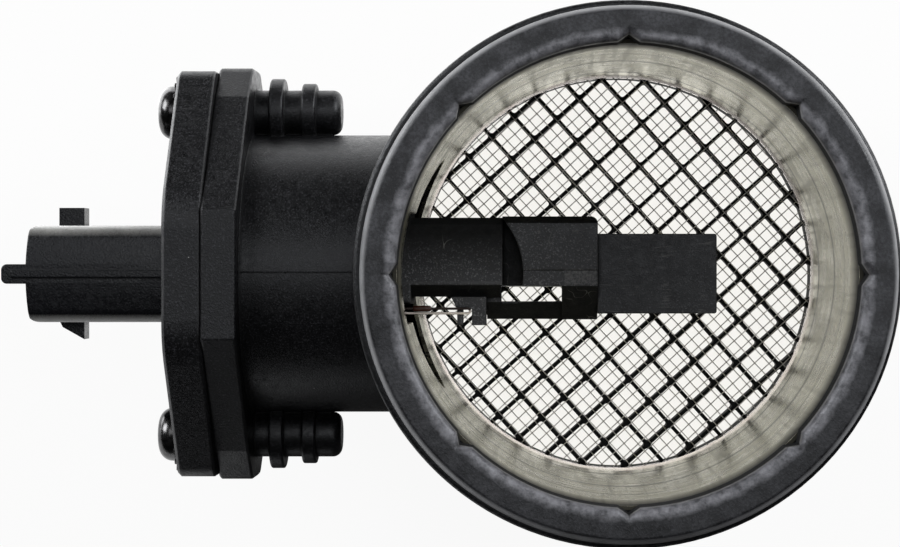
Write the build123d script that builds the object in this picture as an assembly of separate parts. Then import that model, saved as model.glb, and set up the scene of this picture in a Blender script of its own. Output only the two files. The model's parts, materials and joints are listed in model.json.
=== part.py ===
from build123d import *
import math
import os

# Mass airflow sensor. Millimetres. The flow tube stands on its inlet face: its axis is Z,
# the inlet face is on Z = 0 and the air leaves at Z = tube_length. The side neck, the
# sensor body and its connector reach out along -X. Y runs across the neck.

# ---------------------------------------------------------------- flow tube
tube_length = 82.0
tube_radius = 40.0
tube_wall = 4.6
mouth_rounding = 1.3
mouth_taper = 3.0
collar_rise = 1.65
collar_rounding = 0.75
collar_width = 3.5
collar_inset = 9.5
lip_overhang = 0.9
lip_rounding = 1.05
lip_depth = 6.6
notch_count = 8
notch_depth = 1.1
notch_width = 3.2
inlet_depth = 8.5
seat_recess = 1.8

# ---------------------------------------------------------------- parts stacked at the inlet
press_gap = 0.05
ring_height = 3.5
ring_wall = 2.6
lattice_depth = 3.5
lattice_pitch = 5.35
lattice_bar = 0.7
lattice_turn = -2.9
rim_height = 1.0
rim_wall = 2.8
wire_pitch = 1.77
wire_diameter = 0.24
wire_turn = -2.2
wires_per_solid_wire = 4

# ---------------------------------------------------------------- metal sleeve
sleeve_wall = 0.65
opening_height = 38.0
opening_width = 20.0
slot_top = 63.5
slot_margin = 0.3

# ---------------------------------------------------------------- side neck and its flange
neck_height = 41.0
neck_radius = 22.8
neck_wall = 2.3
neck_length = 25.6
flange_thickness = 5.5
flange_half_height = 33.6
flange_end_half_width = 4.6
flange_shoulder_height = 28.5
flange_shoulder_half_width = 10.5
flange_flat_half_height = 10.0
flange_half_width = 25.5
flange_end_rounding = 3.2
plate_edge = 0.3
screw_spacing = 53.1
boss_radius = 3.7
boss_length = 14.1
boss_rounding = 1.5
fin_width = 2.3
fin_steps = (2.5, 7.7)
fin_radii = (5.6, 4.8)
fin_rounding = 0.35
web_width = 2.4
screw_core_radius = 1.7
screw_engagement = 12.6

# ---------------------------------------------------------------- sensor body
cover_thickness = 6.1
cover_half_width = 25.2
cover_flat_half_height = 11.0
cover_half_height = 32.8
cover_end_half_width = 9.4
cover_shoulder_rounding = 12.0
cover_end_rounding = 3.5
cover_edge = 0.5
plug_clearance = 0.2
plug_overrun = 1.0
seal_depth = 1.8
seal_land = 2.0
seal_squeeze_gap = 0.05
pocket_half_width = 13.0
pocket_lead = 6.6
pocket_end_wall = 3.0
pocket_floor_drop = 1.4
pocket_side_height = 9.4
lid_thickness = 1.6
lid_gap = 0.15
lid_ledge = 1.2

# ---------------------------------------------------------------- connector
socket_length = 23.1
socket_half_height = 7.7
socket_half_width = 15.5
socket_wall = 1.7
socket_depth = 18.0
socket_crown = 0.8
socket_corner = 2.4
socket_inner_corner = 3.5
mouth_bow = 0.5
mouth_corner = 1.8
key_half_height = 1.55
key_length = 3.85
key_depth = 5.0
key_rounding = 0.9
rib_half_height = 0.55
rib_rise = 0.4
latch_rise = 3.1
latch_length = 4.1
latch_width = 4.0
latch_setback = 2.45
latch_toe = 1.1
pin_count = 5
pin_pitch = 4.8
pin_width = 2.2
pin_thickness = 0.8
pin_tip_inset = 5.0
pad_pitch = 4.0
pad_length = 1.8

# ---------------------------------------------------------------- screws and washers
head_radius = 4.4
head_height = 3.1
head_rim = 0.9
recess_lobe_radius = 0.65
recess_lobe_place = 1.65
recess_depth = 2.2
washer_radius = 6.2
washer_thickness = 1.3
washer_teeth = 16
washer_tooth_depth = 0.8
shank_radius = 2.0
shank_clearance = 0.25

# ---------------------------------------------------------------- probe
probe_front = 6.5
probe_thickness = 13.0
root_length = 2.0
root_margin = 1.2
shank_length = 16.95
shank_bottom = -3.8
shank_top = 9.15
body_length = 15.55
body_bottom = -7.55
body_top = 9.35
step_back = 0.9
hollow_radius = 13.6
hollow_reach = 3.4
hollow_depth = 5.2
slope_top = -2.0
slope_drop = 5.4
window_lead = 0.35
window_length = 10.1
window_bottom = -4.7
window_top = -2.0
sill_setback = 5.0
sill_slope = 3.0
probe_rounding = 0.7
edge_slope_width = 1.1
edge_slope_drop = 2.0
shank_slope_width = 1.95
shank_slope_drop = 3.0
body_corner = 1.1
probe_foot_margin = 0.8
duct_length = 19.5
duct_half_height = 6.53
duct_front_setback = 2.6
duct_thickness = 8.4
duct_wall = 1.4
duct_corner = 0.45
duct_spigot = 3.0
duct_cover_thickness = 1.2
inlet_window_length = 8.0
inlet_window_half_height = 3.6
outlet_slot_length = 4.0
outlet_slot_height = 2.6
face_cover_thickness = 1.2
face_cover_bottom = 0.6

# ---------------------------------------------------------------- thermistor and its lug
lug_setback = 8.6
lug_length = 5.7
lug_shoulder = -5.8
lug_bottom = -8.4
lug_leg = 1.9
lug_taper = 1.0
lug_slot = 1.5
lug_thickness = 4.0
lug_front_setback = 1.2
bead_setback = 2.3
bead_length = 3.1
bead_radius = 0.5
bead_rounding = 0.35
bead_level = -5.7
return_level = -6.45
lead_radius = 0.2
hook_clearance = 0.3
hook_rounding = 0.36

# ---------------------------------------------------------------- electronics
sink_thickness = 1.2
sink_margin = 0.4
tongue_half_width = 2.2
tongue_gap = 0.1
tongue_reach = 11.9
board_thickness = 0.8
board_inset = 1.2
pad_row_depth = 2.2
component_gap = 0.5
chip_size = 5.6
chip_height = 1.3
driver_length = 5.0
driver_width = 3.6
driver_height = 1.0
capacitor_count = 7
capacitor_length = 2.0
capacitor_width = 1.2
capacitor_height = 1.0
capacitor_pitch = 2.6
resistor_count = 7
resistor_length = 1.6
resistor_width = 0.8
resistor_height = 0.5
resistor_pitch = 2.4
bond_radius = 0.15
bond_rise = 1.1
element_length = 6.0
element_width = 3.6
element_thickness = 0.5

# ---------------------------------------------------------------- derived places
bore_radius = tube_radius - tube_wall
lip_radius = bore_radius - lip_overhang
lip_bottom = tube_length - lip_depth
seat_radius = bore_radius + seat_recess
ring_bottom = inlet_depth
lattice_bottom = ring_bottom + ring_height
rim_bottom = lattice_bottom + lattice_depth
seat_top = rim_bottom + rim_height
screen_level = rim_bottom + rim_height / 2
stack_radius = seat_radius - press_gap
sleeve_outer = bore_radius - press_gap
sleeve_inner = sleeve_outer - sleeve_wall

flange_face = -(tube_radius + neck_length)
flange_back = flange_face + flange_thickness
screw_offset = screw_spacing / 2
neck_bore = neck_radius - neck_wall
cover_face = flange_face - cover_thickness
plug_radius = neck_bore - plug_clearance
plug_end = -(bore_radius + plug_overrun)
seal_start = flange_face + seal_land
seal_bottom = plug_radius - seal_depth
seal_section = neck_bore - seal_bottom - seal_squeeze_gap
seal_width = seal_section + 2 * seal_squeeze_gap
pocket_start = flange_face + pocket_lead
pocket_end = plug_end - pocket_end_wall
pocket_floor = neck_height - pocket_floor_drop
lid_top = neck_height + pocket_side_height
lid_bottom = lid_top - lid_thickness

socket_mouth = cover_face - socket_length
socket_floor = socket_mouth + socket_depth
key_front = neck_height + socket_half_width

front = neck_height + probe_front
rear = front - probe_thickness
duct_front = front - duct_front_setback
duct_rear = duct_front - duct_thickness
sink_bottom = pocket_floor
sink_top = sink_bottom + sink_thickness
board_top = sink_top + board_thickness
lug_front = front - lug_front_setback
sill_level = front - sill_setback - neck_height
lead_height = lug_front + lead_radius

shank_end = plug_end + shank_length
body_end = shank_end + body_length
window_start = shank_end - window_lead
window_end = window_start + window_length
duct_end = body_end + duct_length
tongue_end = body_end + tongue_reach
lug_start = plug_end + lug_setback
lug_end = lug_start + lug_length
lug_slot_start = lug_start + lug_leg
lug_slot_end = lug_slot_start + lug_slot
bead_start = plug_end + bead_setback
bead_end = bead_start + bead_length
lead_hook = lug_slot_end - hook_clearance

board_start = pocket_start + pad_length + sink_margin + board_inset
board_end = pocket_end - sink_margin - board_inset
board_side = pocket_half_width - lid_ledge - sink_margin - board_inset
resistor_start = board_start + pad_row_depth
chip_start = resistor_start + resistor_length + component_gap
capacitor_start = chip_start + max(chip_size, driver_length) + component_gap


# ---------------------------------------------------------------- helpers
def block(x0, x1, y0, y1, z0, z1):
    """Rectangular block between two opposite corners."""
    centre = Pos((x0 + x1) / 2, (y0 + y1) / 2, (z0 + z1) / 2)
    return centre * Box(abs(x1 - x0), abs(y1 - y0), abs(z1 - z0))


def x_rod(radius, x0, x1, y=0.0, z=neck_height):
    """Round bar along X between two stations."""
    return Pos((x0 + x1) / 2, y, z) * Rot(0, 90, 0) * Cylinder(radius, x1 - x0)


def z_rod(radius, z0, z1):
    """Round bar on the tube axis between two heights."""
    return Pos(0, 0, (z0 + z1) / 2) * Cylinder(radius, z1 - z0)


def z_ring(outer, inner, z0, z1):
    """Plain ring on the tube axis."""
    return z_rod(outer, z0, z1) - z_rod(inner, z0 - 1, z1 + 1)


def across_x(outline, x0, x1):
    """Plate between two X stations, from an outline drawn in Y and Z about the neck axis."""
    plane = Plane(origin=(x0, 0, neck_height), x_dir=(0, 1, 0), z_dir=(1, 0, 0))
    return extrude(plane * outline, x1 - x0)


def along_z(outline, z0, z1):
    """Solid between two heights, from an outline drawn in X and Y."""
    return extrude(Pos(0, 0, z0) * outline, z1 - z0)


def mirrored_outline(quarter):
    """Closed outline from the corners of one quarter, mirrored across both axes."""
    right = quarter + [(y, -z) for y, z in reversed(quarter)]
    left = [(-y, -z) for y, z in quarter] + [(-y, z) for y, z in reversed(quarter)]
    return make_face(Polyline(*right, *left, close=True))


def screw_places():
    """Height across the neck of the upper and the lower screw."""
    return {"upper": screw_offset, "lower": -screw_offset}


# ---------------------------------------------------------------- housing
def collar(height):
    """Rounded bead around the outside of a spigot."""
    section = RectangleRounded(2 * collar_rise, collar_width, collar_rounding)
    place = Plane.XZ * Pos(tube_radius, height)
    return revolve(place * section, Axis.Z)


def tube_profile():
    """Half section of the tube wall, with the lip at the outlet and the seat at the inlet."""
    shoulder = (tube_radius - mouth_rounding, tube_length - mouth_taper)
    mouth = EllipticalCenterArc(shoulder, mouth_rounding, mouth_taper, 0, arc_size=90)
    wall = Polyline(
        (tube_radius - mouth_rounding, tube_length),
        (lip_radius, tube_length),
        (lip_radius, lip_bottom),
        (bore_radius, lip_bottom),
        (bore_radius, seat_top),
        (seat_radius, seat_top),
        (seat_radius, 0),
        (tube_radius, 0),
        (tube_radius, tube_length - mouth_taper),
    )
    return make_face(Plane.XZ * (mouth + wall))


def lip_notch(index):
    """V-shaped groove across the lip, one of an even ring."""
    foot = lip_radius - notch_depth
    corners = [(foot, -notch_width), (lip_radius + notch_depth, 0), (foot, notch_width)]
    groove = along_z(make_face(Polyline(*corners, close=True)), lip_bottom, tube_length + 1)
    return Rot(0, 0, index * 360 / notch_count) * groove


def notched_tube():
    """Tube whose lip has an even ring of V notches, with its inner edge rounded all along."""
    tube = revolve(tube_profile(), Axis.Z)
    for index in range(notch_count):
        tube -= lip_notch(index)
    mouth_edges = tube.edges().group_by(Axis.Z)[-1]
    reach = lip_radius + notch_depth
    lip = [edge for edge in mouth_edges if math.hypot(edge.center().X, edge.center().Y) < reach]
    return fillet(lip, lip_rounding)


def screw_boss(height):
    """Boss behind the flange that takes one screw, with its two round fins and its web."""
    end = flange_back + boss_length
    boss = x_rod(boss_radius, flange_back, end, height)
    boss = fillet(boss.edges().group_by(Axis.X)[-1], boss_rounding)
    for step, radius in zip(fin_steps, fin_radii):
        start = flange_back + step
        fin = x_rod(radius, start, start + fin_width, height)
        boss += fillet(fin.edges().filter_by(GeomType.CIRCLE), fin_rounding)
    side = math.copysign(1, height)
    inner = side * (neck_bore + neck_wall / 2)
    web = block(flange_back, end - boss_rounding, inner, height, neck_height - web_width / 2,
                neck_height + web_width / 2)
    return boss + web


def flange_outline():
    """Hexagon with cut ends, whose end corners are rounded."""
    outline = mirrored_outline([
        (flange_flat_half_height, flange_half_width),
        (flange_shoulder_height, flange_shoulder_half_width),
        (flange_half_height, flange_end_half_width),
    ])
    by_height = outline.vertices().group_by(Axis.X)
    return fillet(by_height[0] + by_height[-1], flange_end_rounding)


def make_housing():
    tube = notched_tube()
    collar_middle = collar_inset + collar_width / 2
    tube += collar(collar_middle) + collar(tube_length - collar_middle)
    neck = x_rod(neck_radius, flange_back, 0) - z_rod(tube_radius - tube_wall / 2, 0, tube_length)
    neck = neck.solids().sort_by(Axis.X)[0]
    flange = across_x(flange_outline(), flange_face, flange_back)
    rims = flange.edges().group_by(Axis.X)
    housing = tube + neck + chamfer(rims[0] + rims[-1], plate_edge)
    for height in screw_places().values():
        housing += screw_boss(height)
    housing -= x_rod(neck_bore, flange_face, -lip_radius / 2)
    for height in screw_places().values():
        hole_end = flange_face + screw_engagement + shank_clearance
        housing -= x_rod(screw_core_radius, flange_face, hole_end, height)
    return housing


# ---------------------------------------------------------------- sleeve and inlet stack
def sleeve_opening():
    """Oval opening that lets the probe into the flow, with a slot as wide as the probe above it."""
    oval = across_x(Ellipse(opening_height / 2, opening_width / 2), -tube_radius, 0)
    slot = block(-tube_radius, 0, body_bottom - slot_margin, body_top + slot_margin, neck_height, slot_top)
    return oval + slot


def make_flow_sleeve():
    return z_ring(sleeve_outer, sleeve_inner, seat_top, lip_bottom) - sleeve_opening()


def crossed_bars(pitch, bar, reach, turn):
    """Square lattice of bars within a circle, turned about the tube axis."""
    count = math.floor(reach / pitch)
    places = [index * pitch for index in range(-count, count + 1)]
    upright = Sketch() + [Pos(place, 0) * Rectangle(bar, 2 * reach) for place in places]
    lattice = (upright + Rot(0, 0, 90) * upright) & Circle(reach)
    return Rot(0, 0, 45 + turn) * lattice


def make_flow_straightener():
    """Moulded lattice and its rim, one piece."""
    rim = Circle(stack_radius) - Circle(stack_radius - ring_wall)
    bars = crossed_bars(lattice_pitch, lattice_bar, stack_radius - ring_wall / 2, lattice_turn)
    return along_z(rim + bars, lattice_bottom, rim_bottom)


def screen_wire_reach():
    return stack_radius - rim_wall


def make_wire_screen():
    """Woven screen as one crossed sheet that keeps one wire in every few."""
    pitch = wire_pitch * wires_per_solid_wire
    wires = crossed_bars(pitch, wire_diameter, screen_wire_reach(), wire_turn)
    edge = Circle(screen_wire_reach()) - Circle(screen_wire_reach() - wire_diameter)
    half = wire_diameter / 2
    return along_z(wires + edge, screen_level - half, screen_level + half)


def make_screen_rim():
    """Metal ring that the screen's wires are fixed to."""
    return z_ring(stack_radius, screen_wire_reach(), rim_bottom, seat_top)


def make_retaining_ring():
    ring = z_ring(stack_radius, stack_radius - ring_wall, ring_bottom, lattice_bottom)
    return chamfer(ring.edges().group_by(Axis.Z)[0].sort_by(SortBy.RADIUS)[0], ring_wall / 4)


# ---------------------------------------------------------------- sensor body
def cover_outline():
    """Hexagon with cut ends, rounder at its shoulders than the flange behind it."""
    outline = mirrored_outline([
        (cover_flat_half_height, cover_half_width),
        (cover_half_height, cover_end_half_width),
    ])
    by_height = outline.vertices().group_by(Axis.X)
    outline = fillet(by_height[0] + by_height[-1], cover_end_rounding)
    shoulders = [corner for corner in outline.vertices() if abs(corner.X) < cover_flat_half_height + 1]
    return fillet(shoulders, cover_shoulder_rounding)


def make_plug():
    """Round plug that fills the neck, hollowed for the electronics."""
    plug = x_rod(plug_radius, flange_face, plug_end)
    groove = x_rod(plug_radius + 1, seal_start, seal_start + seal_width)
    plug -= groove - x_rod(seal_bottom, seal_start, seal_start + seal_width)
    ledge = pocket_half_width - lid_ledge
    pocket = block(pocket_start, pocket_end, -ledge, ledge, pocket_floor, neck_height + plug_radius)
    recess = block(pocket_start, pocket_end, -pocket_half_width, pocket_half_width,
                   lid_bottom, neck_height + plug_radius)
    return plug - pocket - recess


def socket_outline():
    """Section of the shroud: plain sides, crowned faces and rounded edges."""
    side = socket_half_height
    corner = socket_half_width - socket_crown
    crown = ThreePointArc((-side, corner), (0, socket_half_width), (side, corner))
    half = crown + Line((side, corner), (side, -corner))
    outline = make_face(half + half.rotate(Axis.Z, 180))
    return fillet(outline.vertices(), socket_corner)


def bowed_mouth():
    """Region behind the gently bowed edge of the connector's mouth, with rounded corners."""
    bow_radius = (socket_half_height ** 2 + mouth_bow ** 2) / (2 * mouth_bow)
    reach = socket_half_width + 1
    bow = Pos(socket_mouth + bow_radius, 0, neck_height) * Cylinder(bow_radius, 2 * reach)
    length = flange_back - socket_mouth
    sides = RectangleRounded(length, 2 * socket_half_height, mouth_corner)
    sides = Pos(socket_mouth + length / 2, 0) * sides
    return bow & along_z(sides, neck_height - reach, neck_height + reach)


def make_connector():
    """Connector shroud with its key, its rib, its coding block and its latch ramp."""
    shroud = across_x(socket_outline(), socket_mouth, cover_face) & bowed_mouth()
    inner = RectangleRounded(2 * (socket_half_height - socket_wall), 2 * (socket_half_width - socket_wall),
                             socket_inner_corner)
    shroud -= across_x(inner, socket_mouth - 1, socket_floor)
    key = block(socket_mouth - key_length, socket_floor, -key_half_height, key_half_height,
                key_front - key_depth, key_front)
    key = fillet(key.edges().filter_by(Axis.Z).group_by(Axis.X)[0], key_rounding)
    rib = block(socket_mouth - key_length + key_half_height, cover_face, -rib_half_height,
                rib_half_height, key_front - rib_rise, key_front + rib_rise)
    return shroud + key + rib + coding_block() + latch_ramp()


def coding_block():
    start = socket_mouth + latch_setback
    return block(start, start + latch_length, socket_half_height - socket_wall / 2,
                 socket_half_height + latch_rise, neck_height - latch_width / 2,
                 neck_height + latch_width / 2)


def latch_ramp():
    """Wedge that the mating plug's clip climbs and snaps behind."""
    start = socket_mouth + latch_setback
    inner = -socket_half_height + socket_wall / 2
    outline = make_face(Polyline(
        (start, inner),
        (start, -socket_half_height),
        (start + latch_toe / 2, -socket_half_height - latch_toe),
        (start + latch_length, -socket_half_height - latch_rise),
        (start + latch_length, inner),
        close=True,
    ))
    return along_z(outline, neck_height - latch_width / 2, neck_height + latch_width / 2)


def foot_opening(gap):
    """Window through the plug's end wall that the probe's foot stands in."""
    return block(pocket_end, plug_end, shank_bottom + probe_foot_margin - gap,
                 shank_top - probe_foot_margin + gap, pocket_floor - gap,
                 front - probe_foot_margin + gap)


def make_sensor_body():
    cover = across_x(cover_outline(), cover_face, flange_face)
    cover = chamfer(cover.faces().sort_by(Axis.X)[0].edges(), cover_edge)
    cover = chamfer(cover.faces().sort_by(Axis.X)[-1].edges(), plate_edge)
    body = cover + make_plug() + make_connector()
    for height in screw_places().values():
        body -= x_rod(shank_radius + shank_clearance, cover_face, flange_face, height)
    body -= foot_opening(press_gap)
    for index in range(pin_count):
        body -= make_terminal(index)
    return body


def make_terminal(index):
    """Flat contact pin, cranked inside the moulding from the pin row to the pad row."""
    place = index - (pin_count - 1) / 2
    pin_z = neck_height + place * pin_pitch
    pad_y = place * pad_pitch
    half = pin_thickness / 2
    crank_x = cover_face + cover_thickness / 2
    blade = block(socket_mouth + pin_tip_inset, crank_x + half, -half, half,
                  pin_z - pin_width / 2, pin_z + pin_width / 2)
    tip = blade.edges().filter_by(Axis.Z).group_by(Axis.X)[0]
    blade = chamfer(tip, pin_thickness / 4)
    tail = block(crank_x - half, pocket_start + pad_length, pad_y - half, pad_y + half,
                 board_top - pin_thickness, board_top)
    run = math.hypot(pad_y, pin_z - board_top + half)
    lean = math.degrees(math.atan2(pin_z - board_top + half, -pad_y))
    crank = Pos(crank_x, pad_y / 2, (pin_z + board_top - half) / 2) * Rot(lean, 0, 0) * Box(
        pin_thickness, run + pin_thickness, pin_thickness)
    return blade + crank + tail


def make_neck_seal():
    """Rubber ring in the plug's groove."""
    middle = seal_start + seal_width / 2
    turn = Pos(middle, 0, neck_height) * Rot(0, 90, 0)
    return turn * Torus(seal_bottom + seal_section / 2, seal_section / 2)


def make_electronics_lid():
    return block(pocket_start + lid_gap, pocket_end - lid_gap, -pocket_half_width + lid_gap,
                 pocket_half_width - lid_gap, lid_bottom, lid_top)


# ---------------------------------------------------------------- screws
def make_screw(height):
    """Pan head screw with a six-lobe recess."""
    seat = cover_face - washer_thickness
    head = x_rod(head_radius, seat - head_height, seat, height)
    head = fillet(head.edges().group_by(Axis.X)[0], head_height - head_rim)
    top = seat - head_height
    recess = x_rod(recess_lobe_place, top, top + recess_depth, height)
    for index in range(6):
        turn = index * math.pi / 3
        recess += x_rod(recess_lobe_radius, top, top + recess_depth,
                        height + recess_lobe_place * math.cos(turn),
                        neck_height + recess_lobe_place * math.sin(turn))
    shank = x_rod(shank_radius, seat, flange_face, height)
    thread = x_rod(screw_core_radius - press_gap, flange_face, flange_face + screw_engagement, height)
    return head - recess + shank + thread


def make_washer(height):
    """Toothed lock washer under the screw head."""
    inner = washer_radius - washer_tooth_depth
    disc = Circle(inner)
    half_tooth = math.pi / washer_teeth / 2
    for index in range(washer_teeth):
        turn = index * 2 * math.pi / washer_teeth
        foot = inner * 0.9
        corners = [(foot, -half_tooth), (washer_radius, -half_tooth / 2),
                   (washer_radius, half_tooth / 2), (foot, half_tooth)]
        tooth = Polyline(*[(radius * math.cos(turn + step), radius * math.sin(turn + step))
                           for radius, step in corners], close=True)
        disc += make_face(tooth)
    disc -= Circle(shank_radius + press_gap)
    return across_x(Pos(height, 0) * disc, cover_face - washer_thickness, cover_face)


# ---------------------------------------------------------------- probe
def probe_root():
    """Thicker root of the probe, where it leaves the plug."""
    root = block(plug_end, plug_end + root_length, shank_bottom - root_margin,
                 shank_top + root_margin, rear, front - step_back)
    return fillet(root.edges().filter_by(Axis.X), probe_rounding)


def probe_section(bottom, top, face, lower_edge):
    """Section of the probe across X. Its front face slopes back to the top side, and to lower_edge."""
    return make_face(Polyline(
        (bottom, rear - neck_height),
        (top, rear - neck_height),
        (top, face - edge_slope_drop - neck_height),
        (top - edge_slope_width, face - neck_height),
        *[(y, z - neck_height) for y, z in lower_edge],
        close=True,
    ))


def probe_shank():
    """Inner length of the probe, set back a little from the body's front."""
    face = front - step_back
    lower_edge = [(shank_bottom + shank_slope_width, face), (shank_bottom, face - shank_slope_drop)]
    section = probe_section(shank_bottom, shank_top, face, lower_edge)
    return across_x(section, plug_end, shank_end)


def probe_body():
    """Outer length of the probe, whose front slopes back along the lower side."""
    lower_edge = [(slope_top, front), (body_bottom, front - slope_drop)]
    body = across_x(probe_section(body_bottom, body_top, front, lower_edge), shank_end, body_end)
    upright = body.edges().filter_by(Axis.Z).sort_by(lambda edge: edge.center().X + edge.center().Y)
    return fillet(upright[-1], body_corner)


def front_hollow(gap):
    """Round hollow cut into the body's front, on the side of the shank."""
    centre = Pos(shank_end + hollow_reach - hollow_radius, 0)
    return along_z(centre * Circle(hollow_radius + gap), front - hollow_depth, front)


def cover_slab(gap):
    """Space of the face cover on the body's front."""
    return block(shank_end, body_end, face_cover_bottom - gap, body_top,
                 front - face_cover_thickness - gap, front)


def duct_spigot_block(gap):
    """Spigot of the measuring duct that stands in the probe body."""
    reach = duct_half_height - duct_wall + gap
    return block(body_end - duct_spigot - gap, body_end, -reach, reach,
                 duct_rear + duct_wall - gap, duct_front - duct_wall + gap)


def thermistor_lug():
    """Block below the shank with two legs that hold the thermistor's leads."""
    outline = make_face(Polyline(
        (lug_start, shank_bottom),
        (lug_start + lug_taper, lug_shoulder),
        (lug_start + lug_taper, lug_bottom),
        (lug_end, lug_bottom),
        (lug_end, shank_bottom),
        close=True,
    ))
    lug = along_z(outline, lug_front - lug_thickness, lug_front)
    return lug - block(lug_slot_start, lug_slot_end, lug_bottom, lug_shoulder,
                       lug_front - lug_thickness, lug_front)


def above_sill():
    """Space over the window's sill."""
    outline = make_face(Polyline(
        (window_bottom, front - neck_height),
        (window_bottom, sill_level),
        (body_bottom, sill_level - sill_slope),
        (body_bottom, front - neck_height),
        close=True,
    ))
    return across_x(outline, shank_end, window_end)


def sill_post():
    """The sill carried on below the shank, from the body to the thermistor lug."""
    outline = make_face(Polyline(
        (shank_bottom, rear - neck_height),
        (shank_bottom, sill_level),
        (window_bottom, sill_level),
        (body_bottom, sill_level - sill_slope),
        (body_bottom, rear - neck_height),
        close=True,
    ))
    return across_x(outline, lug_end, shank_end)


def make_probe_carrier():
    """Root, shank and body of the probe, one moulding, with its window and thermistor lug."""
    carrier = probe_root() + foot_opening(0) + probe_shank() + probe_body() + sill_post() + thermistor_lug()
    carrier -= front_hollow(0) & block(shank_end, body_end, body_bottom, body_top, rear, front)
    carrier -= block(window_start, window_end, window_bottom, window_top, rear, front)
    carrier -= above_sill()
    carrier -= duct_spigot_block(press_gap)
    carrier -= cover_slab(press_gap)
    return carrier - tongue(tongue_gap)


def make_face_cover():
    """Flat cover on the body's front, flush with its outer edges."""
    return (probe_body() & cover_slab(0)) - front_hollow(0)


def duct_channel():
    """Passage in the duct, from its rear window to the slot in its underside."""
    start = body_end + duct_wall
    end = duct_end - duct_wall
    reach = duct_half_height - duct_wall
    passage = block(start, end, -reach, reach, duct_rear, duct_front - duct_wall)
    slot = block(end - outlet_slot_length, end, -duct_half_height, -reach,
                 duct_front - duct_wall - outlet_slot_height, duct_front - duct_wall)
    return passage + slot


def make_measuring_duct():
    """Outer end of the probe: a flat box that turns part of the flow over the hot film."""
    box = block(body_end, duct_end, -duct_half_height, duct_half_height, duct_rear, duct_front)
    box = fillet(box.edges().filter_by(Axis.Z).group_by(Axis.X)[-1], duct_corner)
    duct = box + duct_spigot_block(0) - duct_channel()
    return duct - tongue(tongue_gap)


def make_duct_cover():
    """Rear cover of the duct, with the window that the measured air enters by."""
    start = body_end + duct_wall + press_gap
    end = duct_end - duct_wall - press_gap
    reach = duct_half_height - duct_wall - press_gap
    cover = block(start, end, -reach, reach, duct_rear, duct_rear + duct_cover_thickness)
    window_start = end - duct_wall - inlet_window_length
    return cover - block(window_start, end - duct_wall, -inlet_window_half_height,
                         inlet_window_half_height, duct_rear, duct_rear + duct_cover_thickness)


# ---------------------------------------------------------------- electronics
def tongue(gap):
    """Strip of the heat sink that reaches through the probe into the duct."""
    return block(pocket_end, tongue_end + gap, -tongue_half_width - gap, tongue_half_width + gap,
                 sink_bottom - gap, sink_top + gap)


def make_heat_sink():
    side = pocket_half_width - lid_ledge - sink_margin
    plate = block(pocket_start + pad_length + sink_margin, pocket_end - sink_margin, -side, side,
                  sink_bottom, sink_top)
    strip = block(pocket_end - sink_margin, tongue_end, -tongue_half_width, tongue_half_width,
                  sink_bottom, sink_top)
    return plate + strip


def on_board(x0, length, y, width, height):
    """Component standing on the board, from its X start and its middle in Y."""
    return block(x0, x0 + length, y - width / 2, y + width / 2, board_top, board_top + height)


def component_row(count, pitch, x0, length, width, height):
    """Row of like chip components along Y."""
    places = [(index - (count - 1) / 2) * pitch for index in range(count)]
    return Compound(children=[on_board(x0, length, y, width, height) for y in places])


def make_circuit_board():
    return block(board_start, board_end, -board_side, board_side, sink_top, board_top)


def make_bond_wires():
    """Wire from each contact's pad to the edge of the board, in a low arch."""
    wires = []
    for index in range(pin_count):
        y = (index - (pin_count - 1) / 2) * pad_pitch
        level = board_top + bond_radius
        start = (pocket_start + pad_length / 2, y, level)
        end = (board_start + pad_row_depth / 2, y, level)
        top = ((start[0] + end[0]) / 2, y, level + bond_rise)
        path = ThreePointArc(start, top, end)
        section = Plane(origin=start, z_dir=path % 0) * Circle(bond_radius)
        wires.append(sweep(section, path))
    return Compound(children=wires)


def make_sensing_element():
    """Thin hot film chip on the end of the heat sink's tongue."""
    end = tongue_end - press_gap
    return block(end - element_length, end, -element_width / 2, element_width / 2, sink_top,
                 sink_top + element_thickness)


# ---------------------------------------------------------------- thermistor
def make_thermistor_bead():
    bead = x_rod(bead_radius, bead_start, bead_end, bead_level, lead_height)
    return fillet(bead.edges(), bead_rounding)


def make_supply_lead():
    """Short lead from the plug to the bead."""
    return x_rod(lead_radius, plug_end, bead_start, bead_level, lead_height)


def make_return_lead():
    """Lead that leaves the bead, turns at the lug's slot and runs back to the plug."""
    path = FilletPolyline(
        (bead_end, bead_level, lead_height),
        (lead_hook, bead_level, lead_height),
        (lead_hook, return_level, lead_height),
        (plug_end, return_level, lead_height),
        radius=hook_rounding,
    )
    section = Plane(origin=path @ 0, z_dir=path % 0) * Circle(lead_radius)
    return sweep(section, path)


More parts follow.
